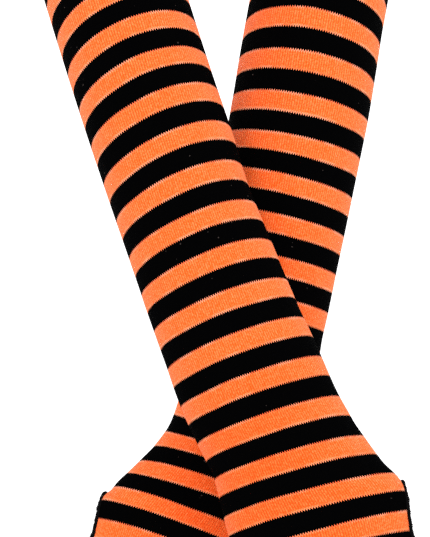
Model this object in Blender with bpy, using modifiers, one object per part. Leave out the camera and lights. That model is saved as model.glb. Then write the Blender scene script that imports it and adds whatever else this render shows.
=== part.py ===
# Pair of knitted arm warmers in their worn, hollow shape, crossed at the wrists.
# Each one is a seamless tube, knitted in one with a turned welt at both ends and cut open for the thumb.
# Sizes are in metres, +Z is up, and -Y is the side that the crossed sleeves are seen from.
# The origin lies between the two sleeves, where they cross.
import math

import bmesh
import bpy
import numpy as np
from mathutils import Matrix, Vector

MM = 0.001

# Cloth
WALL = 1.5 * MM              # stretched knit, one layer
WELT_WALL = 2.4 * MM         # the same knit turned back on itself
WELT_SWELL = 0.5 * MM        # how far a welt stands out of the sleeve's own line
SEAM_GAP = 0.3 * MM          # room left between two pieces

# Places along a sleeve, up from the wrist point
UPPER_END = 262 * MM
UPPER_WELT = 14 * MM
SPLIT_LINE = -27 * MM        # where the hand part takes over from the arm part
FINGER_WELT = 14 * MM
FINGER_END = -140 * MM

# Thumb hole: a slit pulled open to a pointed oval on the thumb side
HOLE_TOP = -80 * MM
HOLE_BOTTOM = -123 * MM
HOLE_HALF_OPENING = 9 * MM
HOLE_CUT = (0.4, 1.4)        # from and to where the hole is cut, in half widths from the sleeve's middle
EDGE_RADIUS = 1.2 * MM       # overlocked roll round the hole
EDGE_END_RADIUS = 1.5 * MM   # how tightly the roll turns at the hole's two ends

# Mesh fineness
ROUND_STEPS = 36
RING_SPACING = 17 * MM
HAND_RING_SPACING = 9 * MM
WELT_RINGS = 3
HOLE_SIDE_POINTS = 18
EDGE_SIDE_POINTS = 12
EDGE_END_POINTS = 6
LINE_STEP = 1 * MM

# The worn sleeve, wrist point at along 0, in millimetres. Thumbward is how far a ring's middle lies
# to the thumb side of the sleeve's own line.
SECTION_COLUMNS = ("along", "width", "depth", "thumbward")
SECTIONS = (
    (262, 79.5, 74, 0),
    (215, 78, 72, 0),
    (150, 76, 66, 0),
    (100, 74.5, 60, 0),
    (75, 74, 55, 0),
    (50, 74, 51, 0),
    (20, 75.5, 48, 0),
    (0, 77.5, 47.5, 0),
    (-25, 77, 46, 0.5),
    (-45, 76.5, 45, 2.5),
    (-57, 80.5, 44, 4),
    (-69, 86, 43.5, 5.5),
    (-80, 91.5, 43, 7),
    (-92, 93.5, 42, 6.2),
    (-104, 92, 41, 5),
    (-120, 88, 38, 3.5),
    (-140, 82, 34, 2),
)

# How each sleeve is held. Tilt is its lean to the side, positive with the finger end to +X; lean is how
# far the finger end comes forward to -Y. Both are in degrees and follow the sleeve's line.
POSE_COLUMNS = ("along", "tilt", "lean")
ARMS = {
    "right": {
        "thumb_side": 1,
        "crossing": (-2.0, -25.0, 1.7),
        "crossing_along": 0,
        "girth": 0.98,
        "pose": ((262, 16.8, 11), (150, 18, 11), (60, 20.3, 11), (0, 21.5, 11), (-60, 21, 11), (-140, 20, 11)),
    },
    "left": {
        "thumb_side": -1,
        "crossing": (3.9, 25.4, -1.6),
        "crossing_along": 19,
        "girth": 1.02,
        "pose": ((262, -10.8, 8), (20, -10.8, 8), (-15, -13, 8), (-45, -24, 8), (-75, -30, 8), (-140, -28, 8)),
    },
}

# Yarn colours, as linear red, green and blue, with roughness
ORANGE = (0.95, 0.20, 0.045, 1.0)
BLACK = (0.010, 0.010, 0.011, 1.0)
KNIT_ROUGHNESS = 0.85
THREAD_ROUGHNESS = 0.6


def column(rows, names, name):
    """One named column of a table, in the order of the first column, upwards."""
    place = names.index(name)
    ordered = sorted(rows)
    return np.array([row[place] for row in ordered], float)


def smooth(xs, ys, x):
    """Value at x on a smooth curve through the points, flat where its neighbours turn back."""
    slopes = np.diff(ys) / np.diff(xs)
    tangents = np.zeros(len(xs))
    for i in range(1, len(xs) - 1):
        if slopes[i - 1] * slopes[i] > 0:
            tangents[i] = 2 / (1 / slopes[i - 1] + 1 / slopes[i])
    tangents[0], tangents[-1] = slopes[0], slopes[-1]
    i = int(np.clip(np.searchsorted(xs, x) - 1, 0, len(xs) - 2))
    run = xs[i + 1] - xs[i]
    t = (x - xs[i]) / run
    return (
        (1 + 2 * t) * (1 - t) ** 2 * ys[i]
        + t * (1 - t) ** 2 * run * tangents[i]
        + t * t * (3 - 2 * t) * ys[i + 1]
        + t * t * (t - 1) * run * tangents[i + 1]
    )


def centre_line(arm):
    """The sleeve's line as points a step apart from the finger end, with its upward direction at each."""
    pose = ARMS[arm]
    tilts = column(pose["pose"], POSE_COLUMNS, "tilt")
    leans = column(pose["pose"], POSE_COLUMNS, "lean")
    stops = column(pose["pose"], POSE_COLUMNS, "along") * MM
    count = int(round((UPPER_END - FINGER_END) / LINE_STEP)) + 1
    alongs = FINGER_END + LINE_STEP * np.arange(count)
    directions = []
    for along in alongs:
        tilt = math.radians(smooth(stops, tilts, along))
        lean = math.radians(smooth(stops, leans, along))
        level = math.cos(lean)
        directions.append((-math.sin(tilt) * level, math.sin(lean), math.cos(tilt) * level))
    directions = np.array(directions)
    middles = (directions[1:] + directions[:-1]) / 2 * LINE_STEP
    points = np.vstack([np.zeros(3), np.cumsum(middles, axis=0)])
    held = [np.interp(pose["crossing_along"] * MM, alongs, points[:, axis]) for axis in range(3)]
    return alongs, points - held + np.array(pose["crossing"]) * MM, directions


LINES = {arm: centre_line(arm) for arm in ARMS}


def frame_at(arm, along):
    """Middle of the sleeve, its direction, the thumb side and the front side, at a place along it."""
    alongs, points, directions = LINES[arm]
    middle = Vector([np.interp(along, alongs, points[:, axis]) for axis in range(3)])
    direction = Vector([np.interp(along, alongs, directions[:, axis]) for axis in range(3)]).normalized()
    front = Vector((0, -1, 0))
    front = (front - front.dot(direction) * direction).normalized()
    side = direction.cross(front) * ARMS[arm]["thumb_side"]
    return middle, direction, side.normalized(), front


def section(arm, along):
    """Half width, half depth and thumbward shift of the sleeve at a place along it."""
    places = column(SECTIONS, SECTION_COLUMNS, "along")
    sizes = []
    for name, share in (("width", ARMS[arm]["girth"] / 2), ("depth", 0.5), ("thumbward", 1)):
        sizes.append(smooth(places, column(SECTIONS, SECTION_COLUMNS, name), along / MM) * MM * share)
    return sizes


def cloth_point(arm, along, angle, inset=0.0):
    """A point of the cloth, at an angle round the sleeve from its thumb side by way of the front."""
    middle, _, side, front = frame_at(arm, along)
    half_width, half_depth, thumbward = section(arm, along)
    across = thumbward + (half_width - inset) * math.cos(angle)
    forward = (half_depth - inset) * math.sin(angle)
    return middle + side * across + front * forward


def hole_half_opening(along, inset=0.0):
    """Half the thumb hole's opening at a place along it, 0 at its two points."""
    middle = (HOLE_TOP + HOLE_BOTTOM) / 2
    half_length = (HOLE_TOP - HOLE_BOTTOM) / 2
    point_angle = math.atan(2 * HOLE_HALF_OPENING / half_length)
    half_length -= inset / math.sin(point_angle)
    share = (along - middle) / half_length
    return (HOLE_HALF_OPENING - inset) * max(0.0, 1 - share * share), half_length


def collection(name):
    made = bpy.data.collections.new(name)
    bpy.context.scene.collection.children.link(made)
    return made


def knit(name, color, roughness=KNIT_ROUGHNESS):
    """A plain knit or thread material."""
    made = bpy.data.materials.new(name)
    made.use_nodes = True
    shader = made.node_tree.nodes["Principled BSDF"]
    shader.inputs["Base Color"].default_value = color
    shader.inputs["Roughness"].default_value = roughness
    shader.inputs["Metallic"].default_value = 0.0
    return made


def sleeve_wall(name, arm, alongs, wall, swells, material, home):
    """A closed wall round one stretch of a sleeve, from its outer surface inwards."""
    points = []
    for along, swell in zip(alongs, swells):
        for step in range(ROUND_STEPS):
            points.append(cloth_point(arm, along, 2 * math.pi * step / ROUND_STEPS, -swell))
    faces = []
    for row in range(len(alongs) - 1):
        for step in range(ROUND_STEPS):
            here = row * ROUND_STEPS + step
            beside = row * ROUND_STEPS + (step + 1) % ROUND_STEPS
            face = (here, beside, beside + ROUND_STEPS, here + ROUND_STEPS)
            faces.append(face if ARMS[arm]["thumb_side"] < 0 else face[::-1])
    mesh = bpy.data.meshes.new(name)
    mesh.from_pydata(points, [], faces)
    mesh.materials.append(material)
    mesh.shade_smooth()
    piece = bpy.data.objects.new(name, mesh)
    home.objects.link(piece)
    solidify = piece.modifiers.new("wall", "SOLIDIFY")
    solidify.thickness = wall
    solidify.offset = -1
    solidify.use_even_offset = True
    return piece


def evenly(start, end, spacing):
    """Places from start to end, no further apart than the spacing."""
    count = max(1, math.ceil(abs(end - start) / spacing))
    return [start + (end - start) * i / count for i in range(count + 1)]


def arm_part(arm, home):
    """The long tube from the wrist to the upper welt."""
    alongs = evenly(SPLIT_LINE + SEAM_GAP / 2, UPPER_END - UPPER_WELT - SEAM_GAP / 2, RING_SPACING)
    material = knit(f"{arm}_arm_knit", ORANGE)
    return sleeve_wall(f"{arm}_arm", arm, alongs, WALL, [0] * len(alongs), material, home)


def hole_cutter(arm, home):
    """A pointed oval prism that runs out through the thumb side of the sleeve only."""
    middle_along = (HOLE_TOP + HOLE_BOTTOM) / 2
    middle, direction, side, front = frame_at(arm, middle_along)
    _, half_length = hole_half_opening(middle_along)
    half_width, _, thumbward = section(arm, middle_along)
    inner, outer = HOLE_CUT
    outline = bpy.data.curves.new(f"{arm}_thumb_hole_cutter", "CURVE")
    outline.dimensions = "2D"
    outline.fill_mode = "BOTH"
    outline.extrude = half_width * (outer - inner) / 2
    spline = outline.splines.new("POLY")
    runs = [half_length * (2 * i / HOLE_SIDE_POINTS - 1) for i in range(HOLE_SIDE_POINTS)]
    loop = [(x, hole_half_opening(middle_along + x)[0]) for x in runs]
    loop += [(-x, -y) for x, y in loop]
    spline.points.add(len(loop) - 1)
    for spot, (x, y) in zip(spline.points, loop):
        spot.co = (x, y, 0, 1)
    spline.use_cyclic_u = True
    drawn = bpy.data.objects.new("thumb_hole_outline", outline)
    home.objects.link(drawn)
    solid = drawn.evaluated_get(bpy.context.evaluated_depsgraph_get())
    cutter = bpy.data.objects.new(f"{arm}_thumb_hole_cutter", bpy.data.meshes.new_from_object(solid))
    bpy.data.objects.remove(drawn)
    weld(cutter.data)
    home.objects.link(cutter)
    reach = thumbward + half_width * (inner + outer) / 2
    cutter.matrix_world = placed(middle + side * reach, direction, front)
    cutter.hide_render = True
    cutter.display_type = "WIRE"
    return cutter


def weld(mesh):
    """Joins the loose caps of a filled curve to its sides."""
    work = bmesh.new()
    work.from_mesh(mesh)
    bmesh.ops.remove_doubles(work, verts=work.verts, dist=0.01 * MM)
    bmesh.ops.recalc_face_normals(work, faces=work.faces)
    work.to_mesh(mesh)
    work.free()


def placed(origin, x_axis, y_axis):
    """A matrix that carries local x and y onto two upright directions at the origin point."""
    z_axis = x_axis.cross(y_axis).normalized()
    turned = Matrix((x_axis, y_axis, z_axis)).transposed()
    return Matrix.Translation(origin) @ turned.to_4x4()


def hand_part(arm, home, cutters):
    """The short tube over the hand, open at the thumb hole."""
    top = evenly(HOLE_TOP, SPLIT_LINE - SEAM_GAP / 2, RING_SPACING)
    hole = evenly(HOLE_BOTTOM, HOLE_TOP, HAND_RING_SPACING)[:-1]
    bottom = [FINGER_END + FINGER_WELT + SEAM_GAP / 2]
    alongs = bottom + hole + top
    material = knit(f"{arm}_hand_knit", ORANGE)
    piece = sleeve_wall(f"{arm}_hand", arm, alongs, WALL, [0] * len(alongs), material, home)
    cut = piece.modifiers.new("thumb hole", "BOOLEAN")
    cut.operation = "DIFFERENCE"
    cut.solver = "EXACT"
    cut.object = hole_cutter(arm, cutters)
    return piece


def welt(name, arm, start, end, home):
    """A turned edge: double cloth that swells softly between its seam and its fold."""
    alongs = evenly(start, end, (end - start) / WELT_RINGS)
    swells = [WELT_SWELL * math.sin(math.pi * (i + 0.5) / len(alongs)) for i in range(len(alongs))]
    material = knit(f"{name}_knit", BLACK)
    return sleeve_wall(name, arm, alongs, WELT_WALL, swells, material, home)


def edge_path():
    """Run along the hole and rise across it at each point of the roll: two bowed sides, two round ends."""
    inset = EDGE_RADIUS + SEAM_GAP + EDGE_END_RADIUS
    half_opening, half_length = hole_half_opening((HOLE_TOP + HOLE_BOTTOM) / 2, inset)
    steepest = 2 * half_opening / half_length
    sweep = 2 * math.atan2(1, steepest)
    spots = []
    for end in (1, -1):
        for i in range(EDGE_SIDE_POINTS):
            share = end * (1 - 2 * i / EDGE_SIDE_POINTS)
            rise = end * half_opening * (1 - share * share)
            spots.append((half_length * share, rise, math.atan2(end, steepest * share)))
        for i in range(EDGE_END_POINTS):
            turn = math.atan2(end, -end * steepest) + sweep * i / EDGE_END_POINTS
            spots.append((-end * half_length, 0.0, turn))
    outward = EDGE_END_RADIUS
    return [(run + outward * math.cos(turn), rise + outward * math.sin(turn)) for run, rise, turn in spots]


def thumb_edge(arm, home):
    """The overlocked roll that runs round inside the thumb hole, on the middle of the wall."""
    middle_along = (HOLE_TOP + HOLE_BOTTOM) / 2
    path = bpy.data.curves.new(f"{arm}_thumb_edge", "CURVE")
    path.dimensions = "3D"
    path.bevel_depth = EDGE_RADIUS
    path.bevel_resolution = 2
    loop = edge_path()
    spline = path.splines.new("POLY")
    spline.points.add(len(loop) - 1)
    middle, direction, side, front = frame_at(arm, middle_along)
    for spot, (run, rise) in zip(spline.points, loop):
        half_width, half_depth, thumbward = section(arm, middle_along + run)
        bulge = math.sqrt(1 - (rise / (half_depth - WALL / 2)) ** 2)
        bend = (frame_at(arm, middle_along + run)[0] - middle).dot(side)
        across = bend + thumbward + (half_width - WALL / 2) * bulge
        spot.co = (*(middle + direction * run + side * across + front * rise), 1)
    spline.use_cyclic_u = True
    path.materials.append(knit(f"{arm}_overlock_thread", BLACK, THREAD_ROUGHNESS))
    piece = bpy.data.objects.new(f"{arm}_thumb_edge", path)
    home.objects.link(piece)
    return piece


def sleeve(arm, home, cutters):
    """One whole arm warmer."""
    arm_part(arm, home)
    hand_part(arm, home, cutters)
    welt(f"{arm}_upper_welt", arm, UPPER_END - UPPER_WELT + SEAM_GAP / 2, UPPER_END, home)
    welt(f"{arm}_finger_welt", arm, FINGER_END, FINGER_END + FINGER_WELT - SEAM_GAP / 2, home)
    thumb_edge(arm, home)


def main():
    for old in list(bpy.data.objects):
        bpy.data.objects.remove(old)
    home = collection("arm_warmers")
    cutters = collection("cutters")
    for arm in ARMS:
        sleeve(arm, home, cutters)


main()
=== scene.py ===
import math

import bmesh
import bpy
import numpy as np
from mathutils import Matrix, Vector


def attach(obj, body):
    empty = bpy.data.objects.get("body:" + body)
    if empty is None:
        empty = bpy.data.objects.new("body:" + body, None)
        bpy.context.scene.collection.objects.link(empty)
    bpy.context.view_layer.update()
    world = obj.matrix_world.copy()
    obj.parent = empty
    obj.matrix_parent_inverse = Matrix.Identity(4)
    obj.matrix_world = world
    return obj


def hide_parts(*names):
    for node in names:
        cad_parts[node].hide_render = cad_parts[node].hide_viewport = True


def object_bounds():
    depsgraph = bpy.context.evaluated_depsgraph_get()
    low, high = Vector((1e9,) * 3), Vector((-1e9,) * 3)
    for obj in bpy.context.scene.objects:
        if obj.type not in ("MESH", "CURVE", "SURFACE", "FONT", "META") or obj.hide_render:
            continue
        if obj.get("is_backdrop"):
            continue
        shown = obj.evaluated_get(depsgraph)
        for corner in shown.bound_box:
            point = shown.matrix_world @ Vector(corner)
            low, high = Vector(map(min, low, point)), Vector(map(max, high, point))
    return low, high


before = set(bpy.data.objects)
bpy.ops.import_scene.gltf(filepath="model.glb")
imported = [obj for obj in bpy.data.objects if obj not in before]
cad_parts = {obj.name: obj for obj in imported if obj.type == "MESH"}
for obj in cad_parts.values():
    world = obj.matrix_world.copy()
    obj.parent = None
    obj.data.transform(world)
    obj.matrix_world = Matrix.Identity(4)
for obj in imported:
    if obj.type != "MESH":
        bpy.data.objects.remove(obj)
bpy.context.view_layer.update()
mm = 0.001
print("frame loaded with", len(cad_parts), "CAD nodes")

# The worn form of a sleeve, the same numbers as in the part's source, but with the seams drawn closed
# and the thumb hole's top given for each side.
# Rows are along, width, depth, thumbward, in mm from the wrist point.
wornForm = {
    "rows": (
        (262, 79.5, 74, 0), (215, 78, 72, 0), (150, 76, 66, 0), (100, 74.5, 60, 0), (75, 74, 55, 0),
        (50, 74, 51, 0), (20, 75.5, 48, 0), (0, 77.5, 47.5, 0), (-25, 77, 46, 0.5), (-45, 76.5, 45, 2.5),
        (-57, 80.5, 44, 4), (-69, 86, 43.5, 5.5), (-80, 91.5, 43, 7), (-92, 93.5, 42, 6.2),
        (-104, 92, 41, 5), (-120, 88, 38, 3.5), (-140, 82, 34, 2),
    ),
    "upperEnd": 262, "fingerEnd": -140, "welt": 14, "seamGap": 0.04,
    "holeBottom": -123, "holeHalfOpening": 9, "lineStep": 1.0,
}

# How each sleeve lies: pose rows are along, tilt and lean, in mm and degrees.
# Pull rows are along, and how far the courses there are moved up, bowed at the front and skewed to the
# thumb side, in mm.
# Fullness rows are along, and how far the cloth stands out from the solid's line at the thumb side and at
# the other side, in mm.
# Orange begins at firstEdge going up, and again every two pitches from it.
# The far thumb hole's top lies 2.8 mm lower than its solid's, where the photo shows the edge.
sleeves = {
    "right": {
        "thumbSide": 1, "crossing": (-2.0, -25.0, 1.7), "crossingAlong": 0, "girth": 0.98,
        "pose": ((262, 16.8, 11), (150, 18, 11), (60, 20.3, 11), (0, 21.5, 11), (-60, 21, 11),
                 (-140, 20, 11)),
        "pull": ((262, -2.5, 1, 1), (247, -2.5, 1.4, 1.4), (217, -1.2, 4.3, 4.8), (180, -0.6, 5.6, 4.1),
                 (150, 0.6, 4.5, 4.8), (120, 0.2, 4.1, 4.4), (90, -0.5, 4, 3.3), (60, -0.9, 4.4, 1.9),
                 (30, -0.5, 3.5, 0.2), (0, -0.5, 3.1, -0.7), (-30, -0.5, 3.3, -1.8), (-60, -0.2, 3.9, -3.8),
                 (-80, 0.2, 4.5, -5.2), (-100, 0.2, 6, -4.1), (-128, 0, 3, -2.5), (-140, 0, 3, -2.5)),
        "fullness": ((262, -0.9, 0.1), (200, -0.7, 0.5), (155, -0.3, 0.55), (119, 0.2, 0.5),
                     (90, -0.8, 0.6), (60, 0.1, 0.75), (45, 0.4, 1.05), (25, 0.2, 0.9), (5, 0.1, 0.2),
                     (-10, 0.5, 0.3), (-30, 0.75, -0.2), (-46, 1.2, 0.1), (-60, 0.2, 0.7), (-72, -0.6, 0.8),
                     (-84, 0.4, 0.7), (-100, 1.0, 0.4), (-112, 0.2, 0), (-140, 0, 0)),
        "firstEdge": 1.85, "pitch": 10.55, "holeTop": -80,
    },
    "left": {
        "thumbSide": -1, "crossing": (3.9, 25.4, -1.6), "crossingAlong": 19, "girth": 1.02,
        "pose": ((262, -10.8, 8), (20, -10.8, 8), (-15, -13, 8), (-45, -24, 8), (-75, -30, 8),
                 (-140, -28, 8)),
        "pull": ((262, 3.9, 0.6, -0.3), (250, 3.9, 0.6, -0.3), (232, -0.2, 4.9, -0.4), (180, -0.1, 1, -0.6),
                 (150, 0.2, -1.2, -0.5), (120, 0.2, -1.1, -1.8), (90, -0.2, -0.5, -1.6),
                 (60, 0, -0.1, -1.4), (-10, 1.9, -1.7, -2.2), (-60, 3.2, 7.6, 7), (-85, 7.5, 7.2, 8.9),
                 (-110, 10.1, 6.6, 9.3), (-130, 11, 3.8, 4.5), (-140, 11, 3.8, 4.5)),
        "fullness": ((262, 0.2, -0.7), (226, 0.4, -0.5), (197, 0.5, 0.4), (168, 0.2, 1.05), (146, 0.2, 0.8),
                     (104, 0, 0.2), (76, 0, -0.5), (55, -0.5, -1.1), (35, -1.8, -2.0), (0, -3.2, -1.5),
                     (-18, -2.2, -0.6), (-39, -0.1, 0), (-49, 0.7, 0), (-60, 0, 0), (-70, -1.0, 0),
                     (-81, -2.4, 0), (-88, 0.1, 0), (-100, 0.9, 0), (-108, 0.1, 0), (-140, 0, 0)),
        "firstEdge": 0.35, "pitch": 11.17, "holeTop": -82.8,
    },
}


def smoothCurve(xs, ys, x):
    # monotone curve through the table's points, as in the part's source
    slopes = np.diff(ys) / np.diff(xs)
    tangents = np.zeros(len(xs))
    for i in range(1, len(xs) - 1):
        if slopes[i - 1] * slopes[i] > 0:
            tangents[i] = 2 / (1 / slopes[i - 1] + 1 / slopes[i])
    tangents[0], tangents[-1] = slopes[0], slopes[-1]
    x = np.asarray(x, float)
    i = np.clip(np.searchsorted(xs, x) - 1, 0, len(xs) - 2)
    run = xs[i + 1] - xs[i]
    t = (x - xs[i]) / run
    return ((1 + 2 * t) * (1 - t) ** 2 * ys[i] + t * (1 - t) ** 2 * run * tangents[i]
            + t * t * (3 - 2 * t) * ys[i + 1] + t * t * (t - 1) * run * tangents[i + 1])


def tableColumn(rows, place):
    return np.array(sorted(rows), float)[:, place]


def followTable(rows, place, along):
    return smoothCurve(tableColumn(rows, 0), tableColumn(rows, place), along)


def ringFrames(side, along):
    # middle, thumb side and front of the sleeve at each place along it, in mm
    made = sleeves[side]
    lineStep = wornForm["lineStep"]
    steps = np.arange(wornForm["fingerEnd"], wornForm["upperEnd"] + lineStep, lineStep)
    tilt = np.radians(followTable(made["pose"], 1, steps))
    lean = np.radians(followTable(made["pose"], 2, steps))
    up = np.stack([-np.sin(tilt) * np.cos(lean), np.sin(lean), np.cos(tilt) * np.cos(lean)], axis=1)
    line = np.vstack([np.zeros(3), np.cumsum((up[1:] + up[:-1]) / 2, axis=0)]) * lineStep
    held = np.array([np.interp(made["crossingAlong"], steps, line[:, k]) for k in range(3)])
    line = line - held + np.array(made["crossing"])
    middle = np.stack([np.interp(along, steps, line[:, k]) for k in range(3)], axis=1)
    upHere = np.stack([np.interp(along, steps, up[:, k]) for k in range(3)], axis=1)
    upHere /= np.linalg.norm(upHere, axis=1, keepdims=True)
    front = np.array([0, -1.0, 0]) - (upHere @ np.array([0, -1.0, 0]))[:, None] * upHere
    front /= np.linalg.norm(front, axis=1, keepdims=True)
    across = np.cross(upHere, front) * made["thumbSide"]
    return middle, upHere, across / np.linalg.norm(across, axis=1, keepdims=True), front


def halfSizes(side, along):
    # half width, half depth and the middle's shift to the thumb side, with the cloth's fullness
    rows, fullness = wornForm["rows"], sleeves[side]["fullness"]
    atThumb, atOther = followTable(fullness, 1, along), followTable(fullness, 2, along)
    return (followTable(rows, 1, along) * sleeves[side]["girth"] / 2 + (atThumb + atOther) / 2,
            followTable(rows, 2, along) / 2, followTable(rows, 3, along) + (atThumb - atOther) / 2)


def holeOpening(side, along, inset=0.0):
    # half the thumb hole's opening, 0 outside it
    top, bottom = sleeves[side]["holeTop"], wornForm["holeBottom"]
    half, middle = (top - bottom) / 2, (top + bottom) / 2
    reach = half - inset / math.sin(math.atan(2 * wornForm["holeHalfOpening"] / half))
    share = (np.asarray(along, float) - middle) / reach
    return (wornForm["holeHalfOpening"] - inset) * np.clip(1 - share * share, 0, None), reach, middle


# Soft creases: rows are along, angle round from the thumb side by way of the front, length, width,
# slant and depth. Lengths are in mm and angles in degrees, and a minus depth is a ridge.
creases = {
    "right": (
        (12, 150, 40, 7, 35, 0.5), (-18, 60, 34, 6, -40, 0.45), (-40, 120, 30, 6, 20, 0.4),
        (-58, 28, 26, 5, -25, 0.7), (-66, 338, 24, 5, 25, 0.7), (-100, 50, 22, 5, 55, 0.6),
        (-104, 312, 22, 5, -50, 0.6), (40, 250, 44, 8, 30, 0.6), (90, 290, 50, 9, -25, 0.6),
        (140, 215, 46, 9, 20, -0.5), (190, 265, 52, 10, -15, 0.5), (-30, 262, 30, 6, 40, 0.6),
        (228, 70, 46, 10, 12, 0.35), (120, 100, 60, 12, -10, 0.3),
    ),
    "left": (
        (18, 175, 34, 6, 60, 0.7), (2, 160, 30, 6, 50, 0.7), (-16, 185, 30, 5, 55, 0.8),
        (-34, 172, 28, 5, 60, 0.7), (-52, 30, 26, 5, -30, 0.7), (-66, 338, 24, 5, 25, 0.7),
        (-98, 52, 22, 5, 50, 0.6), (-106, 310, 22, 5, -55, 0.6), (60, 250, 44, 8, 25, 0.6),
        (110, 285, 48, 9, -20, 0.6), (170, 240, 50, 10, 18, -0.5), (214, 100, 46, 10, -12, 0.4),
        (-20, 265, 30, 6, -35, 0.6), (30, 60, 40, 8, -30, 0.4),
    ),
}


def creaseDepth(side, along, angle, arcRadius):
    # how far all creases together sink the cloth at each point, in mm
    sunk = np.zeros(np.broadcast(along, angle).shape)
    for place, turn, length, width, slant, depth in creases[side]:
        away = along - place
        aside = (np.mod(angle - math.radians(turn) + math.pi, 2 * math.pi) - math.pi) * arcRadius
        lean = math.radians(slant)
        run = away * math.cos(lean) + aside * math.sin(lean)
        off = aside * math.cos(lean) - away * math.sin(lean)
        sunk += depth * np.exp(-(2 * run / length) ** 2 - (off / width) ** 2)
    return sunk


# The cell, thickness, inset and ease are in mm. The slit's cells are finer by slitFineness.
cloth = {
    "columns": 144, "cell": 1.6, "slitFineness": 0.8, "arcSteps": 1440,
    "thickness": 0.9, "lipInset": 1.3, "lipEase": 45,
    "wales": 168, "coursesInPair": 25, "orangeCourses": 11.6,
}


def clothPoints(side, along, columns, inset, opened):
    # points round each row at even steps of cloth, parted at the thumb hole
    middle, _, across, front = ringFrames(side, along)
    halfWidth, halfDepth, thumbward = halfSizes(side, along)
    fine = np.linspace(0, 2 * math.pi, cloth["arcSteps"] + 1)
    angles = np.zeros((len(along), columns + 1))
    lip = holeOpening(side, along, cloth["lipInset"])[0] if opened else np.zeros(len(along))
    for row in range(len(along)):
        a, b = halfWidth[row], halfDepth[row]
        piece = np.hypot(a * np.diff(np.cos(fine)), b * np.diff(np.sin(fine)))
        arc = np.concatenate([[0], np.cumsum(piece)])
        at = np.linspace(0, arc[-1], columns + 1)
        if lip[row] > 0:
            parted = np.interp(math.asin(lip[row] / b), fine, arc)
            near = np.minimum(at, arc[-1] - at)
            push = parted * np.clip(1 - near / cloth["lipEase"], 0, None) ** 2
            at = np.where(np.arange(columns + 1) <= columns / 2, at + push, at - push)
        angles[row] = np.interp(at, arc, fine)
    sunk = creaseDepth(side, along[:, None], angles, (halfWidth + halfDepth)[:, None] / 2)
    a = halfWidth[:, None] - inset - sunk
    b = halfDepth[:, None] - inset - sunk
    points = (middle[:, None] + across[:, None] * (thumbward[:, None] + a * np.cos(angles))[..., None]
              + front[:, None] * (b * np.sin(angles))[..., None])
    return points, angles


def courseRow(side, along, angles):
    # which course of the knit lies at each point, counted from where an orange stripe begins
    made = sleeves[side]
    raised, bow, skew = (followTable(made["pull"], k, along)[:, None] for k in (1, 2, 3))
    pulled = raised + bow * np.sin(angles) + skew * np.cos(angles) * made["thumbSide"]
    return (along[:, None] - pulled - made["firstEdge"]) / (2 * made["pitch"]) * cloth["coursesInPair"]


def evenly(start, end, spacing):
    # places from start to end, no further apart than the spacing
    count = max(1, math.ceil(abs(end - start) / spacing))
    return list(np.linspace(start, end, count + 1))


def quadCorner(grid, row, column):
    # one corner of every quad of a grid, row and column 0 or 1
    rows, columns = grid.shape[:2]
    return grid[row:rows - 1 + row, column:columns - 1 + column]


class MeshMaker:
    # collects corners with their place in the knit and in the bake map
    def __init__(self):
        self.points, self.faces, self.knit, self.bake, self.slots = [], [], [], [], []
        self.count = 0

    def addPoints(self, points):
        flat = points.reshape(-1, 3)
        self.points.append(flat)
        index = np.arange(self.count, self.count + len(flat)).reshape(points.shape[:-1])
        self.count += len(flat)
        return index

    def addSheet(self, index, knit, box, flip, slot=0):
        # a grid of quads, box being its share of the bake map
        rows, columns = index.shape
        left, bottom, right, top = box
        u = np.linspace(left, right, columns)[None].repeat(rows, 0)
        v = np.linspace(bottom, top, rows)[:, None].repeat(columns, 1)
        baked = np.stack([u, v], axis=-1)
        corners = [(0, 0), (0, 1), (1, 1), (1, 0)]
        if flip:
            corners = corners[::-1]
        faces = np.stack([quadCorner(index, *corner) for corner in corners], axis=-1).reshape(-1, 4)
        knits = np.stack([quadCorner(knit, *corner) for corner in corners], axis=2).reshape(-1, 4, 2)
        bakes = np.stack([quadCorner(baked, *corner) for corner in corners], axis=2).reshape(-1, 4, 2)
        self.faces.append(faces)
        self.knit.append(knits)
        self.bake.append(bakes)
        self.slots.append(np.full(len(faces), slot))

    def build(self, name, materials):
        mesh = bpy.data.meshes.new(name)
        points = np.vstack(self.points) * mm
        faces = np.vstack(self.faces)
        mesh.from_pydata(points.tolist(), [], faces.tolist())
        for layer, corners in (("OFBake", self.bake), ("knitPlace", self.knit)):
            made = mesh.uv_layers.new(name=layer)
            made.data.foreach_set("uv", np.vstack(corners).astype(np.float32).ravel())
        for material in materials:
            mesh.materials.append(material)
        mesh.polygons.foreach_set("material_index", np.concatenate(self.slots).astype(np.int32))
        mesh.shade_smooth()
        mesh.update()
        piece = bpy.data.objects.new(name, mesh)
        bpy.context.scene.collection.objects.link(piece)
        return piece


def removeLoosePoints(mesh):
    # the seam column's spare points
    used = np.zeros(len(mesh.vertices), bool)
    loops = np.zeros(len(mesh.loops), np.int32)
    mesh.loops.foreach_get("vertex_index", loops)
    used[loops] = True
    work = bmesh.new()
    work.from_mesh(mesh)
    work.verts.ensure_lookup_table()
    bmesh.ops.delete(work, geom=[work.verts[i] for i in np.flatnonzero(~used)], context="VERTS")
    work.to_mesh(mesh)
    work.free()


def bandGrid(first, second):
    # a strip of quads between two lines of corners
    return np.stack([first, second], axis=0)


# shares of the bake map: left, bottom, right, top
bakeMap = {
    "whole": (0.003, 0.003, 0.997, 0.997),
    "outside": (0.003, 0.003, 0.60, 0.997), "inside": (0.61, 0.003, 0.96, 0.997),
    "lowRim": (0.965, 0.003, 0.97, 0.49), "highRim": (0.965, 0.51, 0.97, 0.997),
    "firstLip": (0.975, 0.003, 0.98, 0.49), "lastLip": (0.975, 0.51, 0.98, 0.997),
}


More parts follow.
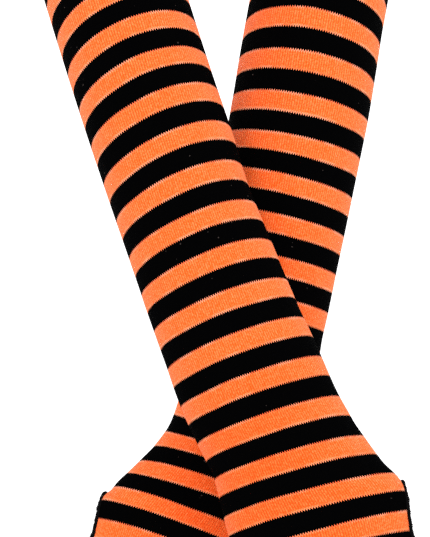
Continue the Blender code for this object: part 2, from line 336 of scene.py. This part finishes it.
def makeSleeve(side, materials):
    # one seamless tube from welt to welt, with a slit that the thumb edge holds open
    form, columns = wornForm, cloth["columns"]
    low = form["fingerEnd"] + form["welt"] + form["seamGap"] / 2
    high = form["upperEnd"] - form["welt"] - form["seamGap"] / 2
    _, reach, middle = holeOpening(side, 0, cloth["lipInset"])
    slitLow, slitHigh = middle - reach, middle + reach
    below = evenly(low, slitLow, cloth["cell"])
    beside = evenly(slitLow, slitHigh, cloth["slitFineness"] * cloth["cell"])
    above = evenly(slitHigh, high, cloth["cell"])
    along = np.array(below + beside[1:] + above[1:])
    firstOpen, lastOpen = len(below) - 1, len(below) + len(beside) - 2
    maker = MeshMaker()
    outer, angles = clothPoints(side, along, columns, 0.0, True)
    inner, _ = clothPoints(side, along, columns, cloth["thickness"], True)
    wale = np.linspace(0, cloth["wales"], columns + 1)[None].repeat(len(along), 0)
    knit = np.stack([wale, courseRow(side, along, angles)], axis=-1)
    grids = []
    for points in (outer, inner):
        index = maker.addPoints(points)
        closed = [row for row in range(len(along)) if not firstOpen < row < lastOpen]
        index[closed, columns] = index[closed, 0]
        grids.append(index)
    flip = sleeves[side]["thumbSide"] > 0
    maker.addSheet(grids[0], knit, bakeMap["outside"], flip)
    maker.addSheet(grids[1], knit, bakeMap["inside"], not flip, 1)
    for row, share, turned in ((0, "lowRim", True), (-1, "highRim", False)):
        rim = bandGrid(grids[0][row], grids[1][row])
        maker.addSheet(rim, bandGrid(knit[row], knit[row]), bakeMap[share], flip ^ turned)
    opened = slice(firstOpen, lastOpen + 1)
    for column, share, turned in ((0, "firstLip", False), (-1, "lastLip", True)):
        rim = bandGrid(grids[0][opened, column], grids[1][opened, column])
        lipKnit = bandGrid(knit[opened, column], knit[opened, column])
        maker.addSheet(rim, lipKnit, bakeMap[share], flip ^ turned)
    piece = maker.build(f"{side}Sleeve", materials)
    removeLoosePoints(piece.data)
    return piece


# in mm, apart from the counts
weltLook = {"swell": 0.5, "thickness": 2.4, "courseHeight": 0.92, "rows": 12, "foldPoints": 6, "columns": 144}


def makeWelt(side, end, material):
    # double cloth turned over at its outer edge, with a softly rounded fold
    form, look, columns = wornForm, weltLook, weltLook["columns"]
    if end == "Upper":
        seam, fold = form["upperEnd"] - form["welt"] + form["seamGap"] / 2, form["upperEnd"]
    else:
        seam, fold = form["fingerEnd"] + form["welt"] - form["seamGap"] / 2, form["fingerEnd"]
    foldRadius = look["thickness"] / 2
    way = math.copysign(1, fold - seam)
    # the welt's cut, from the seam up the outside, over the fold and back down the inside
    straight = abs(fold - seam) - foldRadius
    outside = [(seam + way * t * straight, 0.0) for t in np.linspace(0, 1, look["rows"])]
    turn = [(fold - way * foldRadius * (1 - math.sin(t)), foldRadius * (1 - math.cos(t)))
            for t in np.linspace(0, math.pi, look["foldPoints"] + 2)[1:-1]]
    inside = [(a, look["thickness"]) for a, _ in outside[::-1]]
    cut = outside + turn + inside
    cut.append(cut[0])
    wale = np.linspace(0, cloth["wales"], columns + 1)
    points, knits = [], []
    length = 0.0
    for i, (along, inset) in enumerate(cut):
        share = abs(along - seam) / abs(fold - seam)
        swell = look["swell"] * math.sin(math.pi * min(1.0, share)) * (1 if inset < foldRadius else -1)
        ring, _ = clothPoints(side, np.array([along]), columns, inset - swell, False)
        points.append(ring[0])
        if i:
            length += math.hypot(along - cut[i - 1][0], inset - cut[i - 1][1])
        course = np.full(columns + 1, length / look["courseHeight"])
        knits.append(np.stack([wale, course], axis=-1))
    maker = MeshMaker()
    index = maker.addPoints(np.array(points[:-1]))
    index[:, columns] = index[:, 0]
    index = np.vstack([index, index[:1]])
    flip = (sleeves[side]["thumbSide"] > 0) ^ (way < 0)
    maker.addSheet(index, np.array(knits), bakeMap["whole"], flip)
    piece = maker.build(f"{side}{end}Welt", [material])
    removeLoosePoints(piece.data)
    return piece


# Radii, lengths and the pitch are in mm. Waves of the edge's line are share, count round the hole and
# phase, and the thread's are share, turn for each step and phase.
edgeLook = {
    "coreRadius": 1.17, "coreSides": 12, "coreSteps": 180, "drawnSteps": 1200, "easing": 6,
    "threadRadius": 0.26, "threadSides": 6, "wrapRadius": 1.19, "pitch": 0.8, "stepsInWrap": 14,
    "proud": 0.1, "knot": 0.5, "knotLength": 2.0,
    "waver": 0.3, "lineWaves": ((0.6, 21, 0), (0.4, 13, 0.8)),
    "threadWaves": ((0.10, 0.11, 0), (0.07, 0.043, 1.3)),
    "coreStepsInPly": 4.0, "threadStepsInPly": 2.0,
}


def wavesAt(waves, place):
    # the sum of a few waves of unlike lengths, so that handwork doesn't look even
    return sum(share * np.sin(often * place + phase) for share, often, phase in waves)


def evenSteps(line, outward, count):
    # the same closed line and its outward directions, at even steps
    closed, turned = np.vstack([line, line[:1]]), np.vstack([outward, outward[:1]])
    run = np.concatenate([[0], np.cumsum(np.linalg.norm(np.diff(closed, axis=0), axis=1))])
    at = np.linspace(0, run[-1], count + 1)[:-1]
    evenLine, evenOutward = (np.stack([np.interp(at, run, rows[:, k]) for k in range(3)], axis=1)
                             for rows in (closed, turned))
    return evenLine, evenOutward, run[-1]


def lipLine(side):
    # the line round the thumb hole, a little proud of the cloth and most at the top, where it is knotted off
    _, reach, middle = holeOpening(side, 0, cloth["lipInset"])
    turn = np.linspace(0, 2 * math.pi, edgeLook["drawnSteps"] + 1)[:-1]
    along = middle + reach * np.cos(turn)
    waver = edgeLook["waver"] * wavesAt(edgeLook["lineWaves"], turn)
    rise = holeOpening(side, along, cloth["lipInset"])[0] * np.sign(np.sin(turn))
    centre, _, across, front = ringFrames(side, along)
    halfWidth, halfDepth, thumbward = halfSizes(side, along)
    inset = cloth["thickness"] / 2
    bulge = np.sqrt(1 - (rise / (halfDepth - inset)) ** 2)
    knot = edgeLook["knot"] * np.exp(-((middle + reach - along) / edgeLook["knotLength"]) ** 2)
    out = thumbward + waver + edgeLook["proud"] + knot + (halfWidth - inset) * bulge
    drawn = centre + across * out[:, None] + front * rise[:, None]
    line, outward, length = evenSteps(drawn, across, edgeLook["coreSteps"])
    for _ in range(edgeLook["easing"]):  # rounds the two sharp ends
        line = 0.5 * line + 0.25 * (np.roll(line, 1, 0) + np.roll(line, -1, 0))
    return line, outward, length


def squareTo(line, outward):
    # two directions square to a closed line at each point, the first nearest to outward
    ahead = np.roll(line, -1, 0) - np.roll(line, 1, 0)
    ahead /= np.linalg.norm(ahead, axis=1, keepdims=True)
    first = outward - (outward * ahead).sum(1, keepdims=True) * ahead
    first /= np.linalg.norm(first, axis=1, keepdims=True)
    return first, np.cross(ahead, first)


def tubeRound(name, line, outward, radius, sides, material, stepsInPly):
    # a closed tube along a closed line
    first, second = squareTo(line, outward)
    turn = np.linspace(0, 2 * math.pi, sides + 1)
    points = (line[:, None] + radius * (np.cos(turn)[None, :, None] * first[:, None]
              + np.sin(turn)[None, :, None] * second[:, None]))
    maker = MeshMaker()
    index = maker.addPoints(points)
    index[:, sides] = index[:, 0]
    index = np.vstack([index, index[:1]])
    run = np.arange(len(line) + 1) / stepsInPly
    knit = np.stack(np.broadcast_arrays(np.linspace(0, 1, sides + 1)[None], run[:, None]), axis=-1)
    maker.addSheet(index, knit, bakeMap["whole"], False)
    piece = maker.build(name, [material])
    removeLoosePoints(piece.data)
    return piece


def makeThumbEdge(side, material):
    # the cut edge's core, and the thread that is wrapped round it
    look = edgeLook
    line, outward, length = lipLine(side)
    core = tubeRound(f"{side}ThumbEdge", line, outward, look["coreRadius"], look["coreSides"],
                     material, look["coreStepsInPly"])
    wraps = round(length / look["pitch"])
    fine, out, _ = evenSteps(line, outward, wraps * look["stepsInWrap"])
    first, second = squareTo(fine, out)
    place = np.arange(len(fine))
    spin = 2 * math.pi * place / look["stepsInWrap"]
    wrapRadius = look["wrapRadius"] * (1 + wavesAt(look["threadWaves"], place))
    wound = fine + wrapRadius[:, None] * (np.cos(spin)[:, None] * first + np.sin(spin)[:, None] * second)
    thread = tubeRound(f"{side}ThumbThread", wound, fine - wound, look["threadRadius"], look["threadSides"],
                       material, look["threadStepsInPly"])
    return core, thread


class Wire:
    # a shader socket that takes part in sums
    def __init__(self, graph, socket):
        self.graph, self.socket = graph, socket

    def worked(self, operation, *others):
        return self.graph.add("ShaderNodeMath", {"operation": operation}, dict(enumerate((self, *others))))

    def __add__(self, other):
        return self.worked("ADD", other)

    def __sub__(self, other):
        return self.worked("SUBTRACT", other)

    def __rsub__(self, other):
        return self.graph.add("ShaderNodeMath", {"operation": "SUBTRACT"}, {0: other, 1: self})

    def __mul__(self, other):
        return self.worked("MULTIPLY", other)

    def __truediv__(self, other):
        return self.worked("DIVIDE", other)

    __radd__ = __add__
    __rmul__ = __mul__

    def floor(self):
        return self.worked("FLOOR")

    def fract(self):
        return self.worked("FRACT")

    def size(self):
        return self.worked("ABSOLUTE")

    def wave(self):
        return (self * (2 * math.pi)).worked("SINE")

    def between(self, low, high):
        # 0 up to low, 1 from high on, and a smooth rise from one to the other
        smooth = {"interpolation_type": "SMOOTHSTEP"}
        return self.graph.add("ShaderNodeMapRange", smooth, {0: self, 1: low, 2: high})


class Graph:
    # one material's nodes
    def __init__(self, name):
        self.material = bpy.data.materials.new(name)
        self.material.use_nodes = True
        self.tree = self.material.node_tree
        self.tree.nodes.clear()

    def add(self, kind, settings=None, sockets=None, out=0):
        node = self.tree.nodes.new(kind)
        for name, value in (settings or {}).items():
            setattr(node, name, value)
        for name, value in (sockets or {}).items():
            if isinstance(value, Wire):
                self.tree.links.new(value.socket, node.inputs[name])
            else:
                node.inputs[name].default_value = value
        if isinstance(out, tuple):
            return [Wire(self, node.outputs[k]) for k in out]
        return Wire(self, node.outputs[out]) if len(node.outputs) else None

    def mix(self, share, first, second, blend="MIX"):
        # 6, 7 and output 2 are this node's colour sockets
        settings = {"data_type": "RGBA", "blend_type": blend}
        return self.add("ShaderNodeMix", settings, {0: share, 6: first, 7: second}, 2)

    def noise(self, scale, detail=2.0, rough=0.5):
        # over the piece's own space, so scale is in cells to the metre
        place = self.add("ShaderNodeTexCoord", out=3)
        sockets = {"Vector": place, "Scale": scale, "Detail": detail, "Roughness": rough}
        return self.add("ShaderNodeTexNoise", {}, sockets)

    def finish(self, shader):
        self.add("ShaderNodeOutputMaterial", {}, {"Surface": shader})
        return self.material


# Ranges are the two values of a noise between which it sets in; scales are in cells to the metre.
yarn = {
    "orange": (0.80, 0.118, 0.011, 1), "orangeGapShade": (0.62, 0.034, 0.002, 1),
    "orangePale": (0.90, 0.243, 0.074, 1), "orangeTipHighlight": (0.90, 0.42, 0.27, 1),
    "black": (0.0004, 0.0004, 0.0005, 1), "blackRidgeSpeck": (0.0016, 0.0015, 0.0016, 1),
    # shares of painted shade: deeper orange in the gaps between wales and between courses
    "waleGapShade": 0.86, "rowGapShade": 0.25,
    "heather": 0.7, "heatherScale": 1100, "heatherRange": (0.42, 0.62),
    # painted highlight: paler orange at the stitch tips along each colour change, stronger in patches
    "tipHighlight": 0.12, "highlightInPatches": 0.4, "highlightCourses": (1.1, 0.5), "patchScale": 110, "patchRange": (0.42, 0.62),
    "speckScale": 2600, "speckRange": (0.5, 0.75),
    "lint": (0.07, 0.055, 0.05, 1), "lintShare": 0.6, "lintScale": 620, "lintRange": (0.865, 0.885),
    # painted shade over the hand: darker below these courses and round the side away
    # from the thumb; the middle value is its place and the reach value its reach, in shares of the way round
    "handShade": (1, 0.80, 0.60, 1), "handShadeCourses": (-60, 15), "handShadeMiddle": 0.42, "handShadeReach": (0.12, 0.38),
    "orangeFinish": {"Roughness": 0.9, "Specular IOR Level": 0.12, "Sheen Weight": 0.26,
                     "Sheen Roughness": 0.4, "Sheen Tint": (1.0, 0.68, 0.48, 1)},
    "blackFinish": {"Roughness": 0.95, "Specular IOR Level": 0.006},
}

# A stitch's legs: rises are in courses, gap and groove in shares of half a wale. The reverse shows waves
# instead of legs.
stitch = {
    "legRise": 1.5, "grain": 0.18, "grainScale": 900, "wander": 0.9, "wanderScale": 45,
    "gap": (0.45, 0.95), "gapDepth": 0.8, "groove": (0.0, 0.2), "grooveDepth": 0.35,
    "reverseRise": 0.22, "reverseGrain": 0.15, "reverseGapDepth": 0.3,
    "bump": 0.6, "bumpMm": 0.30, "colourChange": 0.2,
}


def knitMaterial(name, striped, reverse=False):
    # stitches worked out from wale and course: legs that rise from the middle of each wale
    g = Graph(name)
    place = g.add("ShaderNodeUVMap", {"uv_map": "knitPlace"})
    wale, course = g.add("ShaderNodeSeparateXYZ", {}, {0: place}, (0, 1))
    off = (wale.fract() - 0.5).size() * 2
    uneven = g.noise(stitch["grainScale"], detail=1.0) - 0.5
    if reverse:
        at = course + wale.wave() * stitch["reverseRise"] + uneven * stitch["reverseGrain"]
    else:
        wander = (g.noise(stitch["wanderScale"], detail=1.0) - 0.5) * stitch["wander"]
        at = course - (off - 0.5) * stitch["legRise"] + uneven * stitch["grain"] + wander
    leg = at - at.floor()
    ridge = 1 - (leg * 2 - 1) * (leg * 2 - 1)
    gap = off.between(*stitch["gap"])
    groove = 1 - off.between(*stitch["groove"])
    if reverse:
        height = ridge * (1 - gap * stitch["reverseGapDepth"])
    else:
        height = ridge * (1 - gap * stitch["gapDepth"]) * (1 - groove * stitch["grooveDepth"])
    relief = g.add("ShaderNodeBump", {}, {
        "Strength": stitch["bump"], "Distance": stitch["bumpMm"] * mm, "Height": height})
    speck = g.noise(yarn["speckScale"], rough=0.7).between(*yarn["speckRange"])
    # lighter black specks on the raised parts of the stitches
    blackYarn = g.mix(speck * height, yarn["black"], yarn["blackRidgeSpeck"])
    lint = g.noise(yarn["lintScale"], detail=0.0).between(*yarn["lintRange"])
    blackYarn = g.mix(lint * yarn["lintShare"], blackYarn, yarn["lint"])
    black = g.add("ShaderNodeBsdfPrincipled", {}, {
        "Base Color": blackYarn, "Normal": relief, **yarn["blackFinish"]})
    if not striped:
        return g.finish(black)
    inPair = ((at - stitch["colourChange"]) / cloth["coursesInPair"]).fract() * cloth["coursesInPair"]
    isOrange = inPair.worked("LESS_THAN", cloth["orangeCourses"])
    halfStripe = cloth["orangeCourses"] / 2
    # painted highlight at the stitch tips beside each colour change
    highlightStart, highlightFull = yarn["highlightCourses"]
    tipHighlights = (inPair - halfStripe).size().between(halfStripe - highlightStart, halfStripe - highlightFull)
    heather = g.noise(yarn["heatherScale"], rough=0.65).between(*yarn["heatherRange"])
    patch = g.noise(yarn["patchScale"], detail=1.0).between(*yarn["patchRange"])
    shade = g.mix(heather * yarn["heather"], yarn["orange"], yarn["orangePale"])
    # painted shade: deeper orange in the gaps between wales and in the dips between courses
    shade = g.mix(gap * yarn["waleGapShade"], shade, yarn["orangeGapShade"])
    shade = g.mix((1 - ridge) * yarn["rowGapShade"], shade, yarn["orangeGapShade"])
    shade = g.mix(tipHighlights * (patch * yarn["highlightInPatches"] + yarn["tipHighlight"]), shade, yarn["orangeTipHighlight"])
    # painted shade: the hand's side away from the thumb is darkened by a multiplied colour
    overHand = 1 - course.between(*yarn["handShadeCourses"])
    awayFromThumb = 1 - (wale / cloth["wales"] - yarn["handShadeMiddle"]).size().between(*yarn["handShadeReach"])
    shade = g.mix(overHand * awayFromThumb, shade, yarn["handShade"], "MULTIPLY")
    orange = g.add("ShaderNodeBsdfPrincipled", {}, {
        "Base Color": shade, "Normal": relief, **yarn["orangeFinish"]})
    return g.finish(g.add("ShaderNodeMixShader", {}, {0: isOrange, 1: black, 2: orange}))


edgeThread = {
    "dark": (0.0005, 0.0005, 0.0006, 1), "light": (0.0045, 0.0042, 0.0045, 1),
    "plies": 2, "plySlant": 0.8, "plyShare": 0.6, "fuzz": 0.4, "fuzzScale": 1800, "bump": 0.5, "bumpMm": 0.1,
    "finish": {"Roughness": 0.8, "Specular IOR Level": 0.02},
}


def threadMaterial():
    # plied thread: fine slanting ridges
    look = edgeThread
    g = Graph("overlockThread")
    place = g.add("ShaderNodeUVMap", {"uv_map": "knitPlace"})
    turn, run = g.add("ShaderNodeSeparateXYZ", {}, {0: place}, (0, 1))
    ply = (turn * look["plies"] + run * look["plySlant"]).wave() * 0.5 + 0.5
    worn = ply * look["plyShare"] + g.noise(look["fuzzScale"]) * look["fuzz"]
    tone = g.mix(worn, look["dark"], look["light"])
    relief = g.add("ShaderNodeBump", {}, {
        "Strength": look["bump"], "Distance": look["bumpMm"] * mm, "Height": ply})
    return g.finish(g.add("ShaderNodeBsdfPrincipled", {}, {
        "Base Color": tone, "Normal": relief, **look["finish"]}))


stripedKnit = knitMaterial("stripedKnit", True)
stripedReverse = knitMaterial("stripedKnitInside", True, True)
blackKnit = knitMaterial("blackKnit", False)
overlock = threadMaterial()
print("materials made")

for side in sleeves:
    sleeve = makeSleeve(side, [stripedKnit, stripedReverse])
    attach(sleeve, "root")
    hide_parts(f"{side}_arm", f"{side}_hand")
    for end in ("Upper", "Finger"):
        welt = makeWelt(side, end, blackKnit)
        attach(welt, "root")
        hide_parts(f"{side}_{end.lower()}_welt")
    core, thread = makeThumbEdge(side, overlock)
    for piece in (core, thread):
        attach(piece, "root")
    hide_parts(f"{side}_thumb_edge")
    print(side, "sleeve made with", len(sleeve.data.polygons), "faces")

# Lights are name, place, aim, size and watts.
studio = {
    "floorDrop": 0.5 * mm, "floorSize": 40.0, "floorScale": 3.0, "floorRange": (0.3, 0.7),
    "floorTones": ((0.90, 0.90, 0.90, 1), (0.94, 0.94, 0.94, 1)),
    "floorFinish": {"Roughness": 0.9, "Specular IOR Level": 0.1},
    "sky": 1.7, "skyTone": (1, 1, 1, 1),
    "lights": (("key", (-0.7, -1.3, 1.1), (0, 0, 0.05), 0.9, 9.0),
               ("fill", (1.1, -1.2, 0.4), (0, 0, 0.05), 1.2, 7.0)),
    "lens": 73.74, "sensor": 36, "nearest": 0.05, "cameraPlace": (-0.0172, -0.5905, 0.0518), "cameraTilt": 90,
}


def makeFloor():
    # pale and wide, just below the lowest piece
    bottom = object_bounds()[0].z - studio["floorDrop"]
    half = studio["floorSize"] / 2
    corners = [(-half, -half, bottom), (half, -half, bottom), (half, half, bottom), (-half, half, bottom)]
    mesh = bpy.data.meshes.new("floor")
    mesh.from_pydata(corners, [], [(0, 1, 2, 3)])
    g = Graph("paleFloor")
    patches = g.noise(studio["floorScale"]).between(*studio["floorRange"])
    tone = g.mix(patches, *studio["floorTones"])
    mesh.materials.append(g.finish(g.add("ShaderNodeBsdfPrincipled", {}, {
        "Base Color": tone, **studio["floorFinish"]})))
    floor = bpy.data.objects.new("floor", mesh)
    bpy.context.scene.collection.objects.link(floor)
    return floor


def makeSky():
    world = bpy.data.worlds.new("studio")
    world.use_nodes = True
    sky = world.node_tree.nodes["Background"].inputs
    sky["Color"].default_value = studio["skyTone"]
    sky["Strength"].default_value = studio["sky"]
    bpy.context.scene.world = world


def makeLight(name, place, aim, size, watts):
    light = bpy.data.lights.new(name, "AREA")
    light.shape, light.size, light.energy = "DISK", size, watts
    made = bpy.data.objects.new(name, light)
    made.location = place
    made.rotation_euler = (Vector(aim) - Vector(place)).to_track_quat("-Z", "Y").to_euler()
    bpy.context.scene.collection.objects.link(made)


def makeCamera():
    # frames the pair as the photo does
    camera = bpy.data.cameras.new("camera")
    camera.lens, camera.sensor_width, camera.clip_start = studio["lens"], studio["sensor"], studio["nearest"]
    made = bpy.data.objects.new("camera", camera)
    made.location = studio["cameraPlace"]
    made.rotation_euler = (math.radians(studio["cameraTilt"]), 0, 0)
    bpy.context.scene.collection.objects.link(made)
    bpy.context.scene.camera = made


makeFloor()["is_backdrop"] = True
makeSky()
for light in studio["lights"]:
    makeLight(*light)
makeCamera()
bpy.context.scene.view_settings.view_transform = "Standard"
bpy.context.scene.cycles.use_denoising = False  # it would wipe out the stitches
print("studio and camera set")
